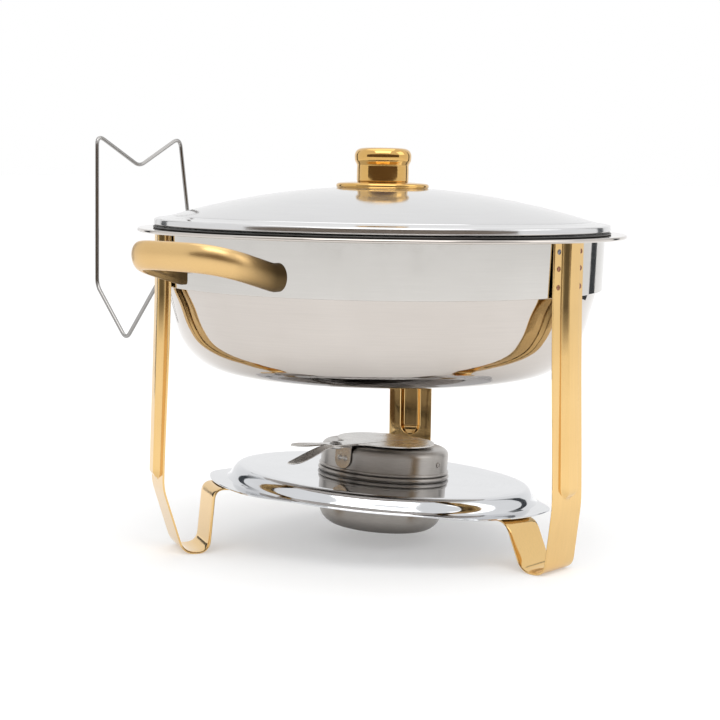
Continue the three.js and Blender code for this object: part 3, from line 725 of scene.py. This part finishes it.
def handle(side):
    """A bowed bar, domed in front and hollow at the back of its bow, whose ends stand on the band.

    The photo's band doesn't mirror the handle, so the handles are left out of mirror reflections.
    """
    depth, half_height, reach, half_width = 8.5, 9.5, 55.0, 49.5
    inner, middle, seat = half_width - depth, BAND_R + reach - depth, BAND_R + 0.35
    half = rounded([(157, inner, 0), (middle, inner, 0), (middle + 1, 0, 0)], 24, 24)
    line = dense(half + [Vector((p.x, -p.y, 0)) for p in half[-2::-1]], 3.0)
    dome_arc = [math.pi * k / 28 for k in range(1, 14)]
    section = [(0.0, 2.6 - half_height), (0.35, 1.0 - half_height)]
    section += [(1.2, 0.15 - half_height), (2.4, -half_height)]
    section += [(lerp(2.4, depth, math.sin(a)), -half_height * math.cos(a)) for a in dome_arc]
    section += [(depth, 0.0)]
    section += [(q[0], -q[1]) for q in section[-2::-1]]
    hollow = [(0.0, 5.9), (2.2, 5.6), (4.4, 4.4), (5.6, 2.4), (6.0, 0.0)]
    hollow += [(q[0], -q[1]) for q in hollow[-2::-1]]
    loops = []
    for i, p in enumerate(line):
        along = (line[min(i + 1, len(line) - 1)] - line[max(i - 1, 0)]).normalized()
        out = Vector((-along.y, along.x, 0))
        open_back = smooth((p.x - 172) / 10)
        loop = []
        for q in section + [(q[0] * open_back, q[1]) for q in hollow]:
            point = p + out * q[0]
            if i in (0, len(line) - 1):
                point.x = math.sqrt(seat * seat - point.y * point.y)
            point.z = HANDLE_Z + q[1] + max(point.x - BAND_R, 0) * math.tan(HANDLE_RISE)
            loop.append(point)
        loops.append(loop)
    place = STAND if side > 0 else STAND @ Matrix.Rotation(math.pi, 4, "Z")
    name = "right" if side > 0 else "left"
    node_name, bar = f"handle_{name}", lofted(loops)
    obj = add(f"handle_bar_{name}", *bar, SATIN_GOLD, "stand", place, [node_name], "satin_gold", soft=0.5)
    obj.visible_glossy = False


def handle_screws():
    """Domed screw heads inside the band, with a shank through to the handle."""
    seat = BAND_R * math.cos(math.pi / BAND_SIDES) - SHEET - GAP
    angle = math.asin(SCREW_OFFSET / BAND_R)
    places = {"right_rear": angle, "right_front": -angle}
    places |= {"left_rear": math.pi - angle, "left_front": math.pi + angle}
    head = [(0, -1.6), (0.8, -1.58), (2.2, -1.35), (3.4, -0.8), (4.0, 0), (2, 0)]
    shank = [(2, BAND_R + 6.5 - seat), (0, BAND_R + 6.5 - seat)]
    for name, turn in places.items():
        part = moved(turned(head + shank, 40), Matrix.Rotation(math.pi / 2, 4, "Y"))
        place = STAND @ Matrix.Rotation(turn, 4, "Z") @ Matrix.Translation((seat * MM, 0, HANDLE_Z * MM))
        add(f"screw_{name}", *part, FASTENER, "stand", place, [f"handle_screw_{name}"], "plain_steel")


def lid_holder():
    """The bent wire rack, from the band down, out and up to its notched top, and its weld beads."""
    half_width, top_y, wire = 56.0, 265.0, 1.6
    on_band = math.sqrt((BAND_R + wire + GAP) ** 2 - half_width**2)
    half = [
        (half_width, on_band, 228),
        (half_width, on_band, 218),
        (half_width, 219, 137),
        (half_width - 0.5, 255, 179),
        (46.5, top_y, 302),
        (0, top_y, 276.5),
    ]
    points = half + [(-x, y, z) for x, y, z in half[-2::-1]]
    line = dense(rounded(points, [4, 7, 6, 9, 6, 9, 6, 7, 4], 10), 4.0)
    section = arc((0, 0), wire, 0, 337.5, 15)
    add("holder_wire", *swept(line, section), CHROME, "stand", STAND, ["lid_holder"], "chrome_wire")
    welds = []
    for x in (-half_width, half_width):
        for z in (225.5, 220.5):
            bead = turned([(0, 1.1), (0.9, 0.95), (1.8, 0.5), (2.3, 0), (0, -0.2)], 20)
            turn = Matrix.Rotation(math.atan2(on_band, x), 4, "Z") @ Matrix.Rotation(math.pi / 2, 4, "Y")
            place = Matrix.Translation((x * 0.992, on_band * 0.992, z)) @ turn
            welds.append(moved(bead, place))
    add("holder_welds", *merged(*welds), FASTENER, "stand", STAND, slot="plain_steel")


# ---- Burner, in the deck's frame ----
def burner_cup():
    """The cup, with the bead that rests on the shelf and the lip that the cover slides over."""
    corner, low, rest, neck = 15, CUP_LOW, GAP, CUP_R - 0.7
    outer = [(0, low), (15, low)] + arc((CUP_R - corner, low + corner), corner, -90, 0, 16) + [(CUP_R, -1.0)]
    bead = [(CUP_R, rest)] + arc((COVER_R + 0.1, rest + 1.6), 1.45, -80, 80, 10)
    lip = [(neck + 0.1, BEAD_TOP + 0.1), (neck, BEAD_TOP + 5)]
    outer += bead + lip
    inner = [(neck - BURNER_SHEET, BEAD_TOP + 5), (neck - BURNER_SHEET, -2)]
    inner += arc((CUP_R - corner, low + corner), corner - BURNER_SHEET, 0, -90, 16)
    shell = turned(outer + inner + [(0, low + BURNER_SHEET)], SMALL_TURN)
    add("burner_cup_shell", *shell, BRUSHED, "burner", DECK, ["burner_cup"], "brushed_steel")


def burner_cover():
    """The cover, with a bead at its foot, a rounded shoulder and the flame opening, and its weld marks."""
    shoulder, skirt = 5.0, BEAD_TOP + GAP
    bead = arc((COVER_R - 0.1, skirt + 1.2), 1.1, -90, 90, 8)
    outer = bead + [(COVER_R - 0.2, skirt + 2.8)]
    outer += arc((COVER_R - shoulder, COVER_TOP - shoulder), shoulder, 0, 90, 12)
    outer += [(38, COVER_TOP), (31.5, COVER_TOP), (30, COVER_TOP - 0.5), (29.2, COVER_TOP - 1.6)]
    inner = [(29.9, COVER_TOP - 2.0), (31.3, COVER_TOP - BURNER_SHEET - 0.1)]
    inner += arc((COVER_R - shoulder, COVER_TOP - shoulder), shoulder - BURNER_SHEET, 90, 0, 12)
    inner += [(COVER_R - BURNER_SHEET, skirt)]
    shell = turned(outer + inner, SMALL_TURN)
    add("burner_cover_shell", *shell, BRUSHED, "burner_cover", DECK, ["burner_cover"], "brushed_steel")
    dimples = []
    ring = [(0, 0.34), (0.6, 0.3), (1.0, 0.0), (1.45, 0.5), (1.85, 0.42), (2.2, 0.0), (0, -0.2)]
    on_side = Matrix.Translation((COVER_R, 0, 13.0)) @ Matrix.Rotation(math.pi / 2, 4, "Y")
    for degrees in (-85, 35, 105):
        turn = Matrix.Rotation(math.radians(degrees), 4, "Z")
        dimples.append(moved(turned(ring, MARK_TURN), turn @ on_side))
    add("cover_weld_marks", *merged(*dimples), BRUSHED, "burner_cover", DECK, slot="brushed_steel")


def plate_from_outline(outline, thickness, z, holes=()):
    """A flat plate from an outline seen from above, by a filled curve so that holes stay clean."""
    curve = bpy.data.curves.new("outline", "CURVE")
    curve.dimensions = "2D"
    curve.fill_mode = "BOTH"
    for loop in (outline, *holes):
        line = curve.splines.new("POLY")
        line.points.add(len(loop) - 1)
        for point, (x, y) in zip(line.points, loop):
            point.co = (x, y, 0, 1)
        line.use_cyclic_u = True
    curve.extrude = thickness / 2
    obj = bpy.data.objects.new("outline", curve)
    bpy.context.scene.collection.objects.link(obj)
    bpy.context.view_layer.update()
    mesh = bpy.data.meshes.new_from_object(obj)
    verts = [(v.co.x, v.co.y, v.co.z + z + thickness / 2) for v in mesh.vertices]
    faces = [tuple(p.vertices) for p in mesh.polygons]
    bpy.data.objects.remove(obj)
    bpy.data.meshes.remove(mesh)
    bpy.data.curves.remove(curve)
    return verts, faces


def damper_bracket():
    """The tab that carries the rivet, and the tongue below it that is welded to the cover's side."""
    half, face, thick = 7.25, COVER_R + GAP, THIN_SHEET
    top = DAMPER_Z - GAP
    hole = arc((-PIVOT_R, 0), PIVOT_HOLE, 0, 345, 23)
    outline = [(-face, -half)] + arc((-PIVOT_R, 0), half, -90, -270, 24) + [(-face, half)]
    foot = plate_from_outline(outline, thick, top - thick, [hole])
    low, narrow, joint = BEAD_TOP + 2.6, half - 0.05, top - thick / 2
    tongue_line = arc((0, low + half), narrow, 180, 360, 24)
    tongue = plate_from_outline([(-narrow, joint)] + tongue_line + [(narrow, joint)], thick, 0)
    turn = Matrix(((0, 0, -1, -face), (1, 0, 0, 0), (0, 1, 0, 0), (0, 0, 0, 1)))
    part = merged(foot, moved(tongue, turn))
    node_names = ["damper_bracket"]
    add("bracket_plate", *part, BRUSHED_FLAT, "burner_cover", DECK, node_names, "brushed_steel", soft=0.25)
    ring = [(0, 0.34), (0.7, 0.3), (1.1, 0.0), (1.5, 0.5), (1.85, 0.42), (2.2, 0.0), (0, -0.2)]
    marks = []
    for across in (-2.4, 2.5):
        place = Matrix.Translation((-face - thick, across, low + half + 0.6))
        marks.append(moved(turned(ring, MARK_TURN), place @ Matrix.Rotation(-math.pi / 2, 4, "Y")))
    add("bracket_weld_marks", *merged(*marks), BRUSHED_FLAT, "burner_cover", DECK, slot="brushed_steel")


def damper_tail(side, reach, tip_y, rise, turn):
    """One finger grip: a round-ended strip that rises or drops to its tip, twisted by the turn in degrees."""
    steps, thick, round_from, round_share = 28, THIN_SHEET, 0.62, 0.385
    start = Vector((4 - ARM_END_R, side * 3.8, DAMPER_Z + thick / 2))
    end = Vector((-ARM_END_R - reach, tip_y, start.z + rise))
    loops = []
    for i in range(steps + 1):
        t = i / steps
        centre = start.lerp(end, t)
        centre.z = lerp(start.z, end.z, smooth(t))
        rounding = math.sqrt(max(1 - (max(t - round_from, 0) / round_share) ** 2, 0.03))
        half = (3.4 + 0.9 * math.sin(math.pi * t)) * rounding
        twist = math.radians(turn) * smooth(t * 1.2)
        across = Vector((0, math.cos(twist), math.sin(twist)))
        up = Vector((0, -math.sin(twist), math.cos(twist)))
        section = [(1, 0.3), (0.96, 0.5), (-0.96, 0.5), (-1, 0.3)]
        section += [(-a, -u) for a, u in section]
        loops.append([centre + across * half * a + up * thick * u for a, u in section])
    return lofted(loops)


def damper():
    """The disc and its arm in one sheet, which rises slightly towards the disc's far side, and the grips."""
    half, thick, lift = 8.5, THIN_SHEET, 0.8
    tip = math.degrees(math.atan2(half, -math.sqrt(DAMPER_R**2 - half**2)))
    disc = arc((0, 0), DAMPER_R, -tip + 5, tip - 5, 120)
    corner = [(-41.0, half - 1.2), (-46.0, 7.6), (-PIVOT_R, 7.4), (-ARM_END_R + 3, 7.9), (-ARM_END_R, 7.5)]
    outline = disc + corner + [(x, -y) for x, y in corner[::-1]]
    hole = arc((-PIVOT_R, 0), PIVOT_HOLE, 0, 345, 23)
    verts, faces = plate_from_outline(outline, thick, DAMPER_Z, [hole])
    plate = [(x, y, z + lift * smooth((x + 40) / 76)) for x, y, z in verts], faces
    add("damper_plate", *plate, BRUSHED_FLAT, "damper", DECK, ["damper"], "brushed_steel", soft=0.25)
    tails = merged(damper_tail(1, 28, 8, 0, 7), damper_tail(-1, 40, -1, -11, 12))
    add("damper_tails", *tails, BRUSHED_FLAT, "damper", DECK, slot="brushed_steel")


def damper_rivet():
    """The hollow rivet, flared over the damper and under the bracket."""
    top, bottom = DAMPER_Z + 1.3, DAMPER_Z - 1.6
    bore, wall, flare = 2.2, 2.9, 4.5
    profile = [(bore, bottom - 0.6), (flare - 0.4, bottom - 0.9), (flare, bottom - 0.45), (flare, bottom)]
    profile += [(wall, bottom), (wall, top), (flare, top), (flare - 0.15, top + 0.4)]
    profile += [(flare - 0.9, top + 0.8), (wall, top + 0.9), (bore, top + 0.5)]
    part = moved(turned(profile, 48), Matrix.Translation((-PIVOT_R, 0, 0)))
    add("rivet_tube", *part, FASTENER, "burner_cover", DECK, ["damper_rivet"], "plain_steel")


# ---- Studio ----
def card(name, corners, low_colour, high_colour, fade):
    """A flat card that only shows as a reflection in the metal, fading between two heights in metres."""
    mesh = bpy.data.meshes.new(name)
    mesh.from_pydata([vec(c) for c in corners], [], [tuple(range(len(corners)))])
    obj = bpy.data.objects.new(name, mesh)
    bpy.context.scene.collection.objects.link(obj)
    material = bpy.data.materials.new(name)
    material.use_nodes = True
    tree = material.node_tree
    shader = tree.nodes["Principled BSDF"]
    shader.inputs["Roughness"].default_value = 1.0
    coords = node(tree, "ShaderNodeTexCoord").outputs["Object"]
    height = node(tree, "ShaderNodeSeparateXYZ", {"Vector": coords}).outputs[2]
    share = span(tree, height, fade[0], fade[1], 0.0, 1.0)
    blend = node(tree, "ShaderNodeMix", {0: share}, data_type="RGBA")
    blend.inputs[6].default_value = (*low_colour, 1)
    blend.inputs[7].default_value = (*high_colour, 1)
    tree.links.new(blend.outputs[2], shader.inputs["Base Color"])
    mesh.materials.append(material)
    obj.visible_camera = False
    obj.visible_diffuse = False
    obj.visible_shadow = False


def floor():
    """A pale floor, large enough to reach the horizon, that also glows a little so that it stays pale."""
    half = 60.0
    corners = [(-half, -half, 0), (half, -half, 0), (half, half, 0), (-half, half, 0)]
    mesh = bpy.data.meshes.new("floor")
    mesh.from_pydata(corners, [], [(0, 1, 2, 3)])
    obj = bpy.data.objects.new("floor", mesh)
    bpy.context.scene.collection.objects.link(obj)
    material = bpy.data.materials.new("floor")
    material.use_nodes = True
    shader = material.node_tree.nodes["Principled BSDF"]
    shader.inputs["Base Color"].default_value = (0.65, 0.65, 0.65, 1)
    shader.inputs["Roughness"].default_value = 0.8
    shader.inputs["Emission Color"].default_value = (1, 1, 1, 1)
    shader.inputs["Emission Strength"].default_value = 0.33
    mesh.materials.append(material)


def area_light(name, place, aim, size, power):
    data = bpy.data.lights.new(name, "AREA")
    data.shape = "RECTANGLE"
    data.size, data.size_y = size
    data.energy = power
    obj = bpy.data.objects.new(name, data)
    bpy.context.scene.collection.objects.link(obj)
    obj.location = place
    obj.rotation_euler = (Vector(aim) - Vector(place)).to_track_quat("-Z", "Y").to_euler()
    obj.visible_camera = False


# Camera: where the photograph was taken from, in metres from the stand's axis.
VIEW_TURN = math.radians(50.71)
VIEW_DISTANCE = 1.213
VIEW_HEIGHT = 0.2727
VIEW_FORWARD = Vector((0.76136, 0.63838, -0.11314))
VIEW_RIGHT = Vector((0.64382, -0.765, 0.01612))


def camera():
    data = bpy.data.cameras.new("camera")
    data.sensor_width = 36.0
    data.lens = 81.5
    obj = bpy.data.objects.new("camera", data)
    bpy.context.scene.collection.objects.link(obj)
    forward = VIEW_FORWARD.normalized()
    right = (VIEW_RIGHT - forward * VIEW_RIGHT.dot(forward)).normalized()
    up = right.cross(forward)
    turn = Matrix((right, up, -forward)).transposed().to_4x4()
    x, y = -math.sin(VIEW_TURN) * VIEW_DISTANCE, -math.cos(VIEW_TURN) * VIEW_DISTANCE + AXIS_Y
    obj.matrix_world = Matrix.Translation((x, y, VIEW_HEIGHT)) @ turn
    bpy.context.scene.camera = obj


def around(degrees, distance, height):
    """A place given by its direction from the dish, counted from the camera's side, anticlockwise."""
    a = math.radians(degrees) - math.pi / 2 - VIEW_TURN
    return (math.cos(a) * distance, math.sin(a) * distance + AXIS_Y, height)


def studio():
    world = bpy.data.worlds.new("world")
    bpy.context.scene.world = world
    world.use_nodes = True
    world.node_tree.nodes["Background"].inputs["Color"].default_value = (1, 1, 1, 1)
    world.node_tree.nodes["Background"].inputs["Strength"].default_value = 1.0
    bpy.context.scene.view_settings.view_transform = "Standard"
    floor()
    area_light("overhead", (0.2, AXIS_Y + 0.3, 2.2), (0, AXIS_Y, 0.1), (1.8, 1.8), 9)
    area_light("side", around(85, 2.2, 1.5), (0, AXIS_Y, 0.15), (1.2, 1.4), 6)
    area_light("front", around(0, 1.05, 1.75), (0, AXIS_Y, 0.1), (1.8, 0.9), 11)
    # The dark end of the room behind the camera, and the narrow gaps at the sides of the backdrop.
    room, white = (0.11, 0.075, 0.048), (0.95, 0.95, 0.95)
    distance, low, high = 3.6, 0.135, 1.10
    ends = [around(-68, distance, low), around(68, distance, low)]
    card("room", ends + [(x, y, high) for x, y, _ in ends[::-1]], room, white, (0.7, high))
    for side in (-1, 1):
        near, far = around(side * 125, 1.0, 0.0), around(side * 134, 1.0, 0.0)
        corners = [near, far, (far[0], far[1], high), (near[0], near[1], high)]
        card(f"gap_{'left' if side < 0 else 'right'}", corners, (0.04, 0.045, 0.05), white, (0.4, high))


camera()
water_pan()
food_pan()
lid()
knob()
knob_fixings()
band()
for leg_name in LEGS:
    leg(leg_name)
shelf()
handle(1)
handle(-1)
handle_screws()
lid_holder()
burner_cup()
burner_cover()
damper_bracket()
damper()
damper_rivet()
studio()
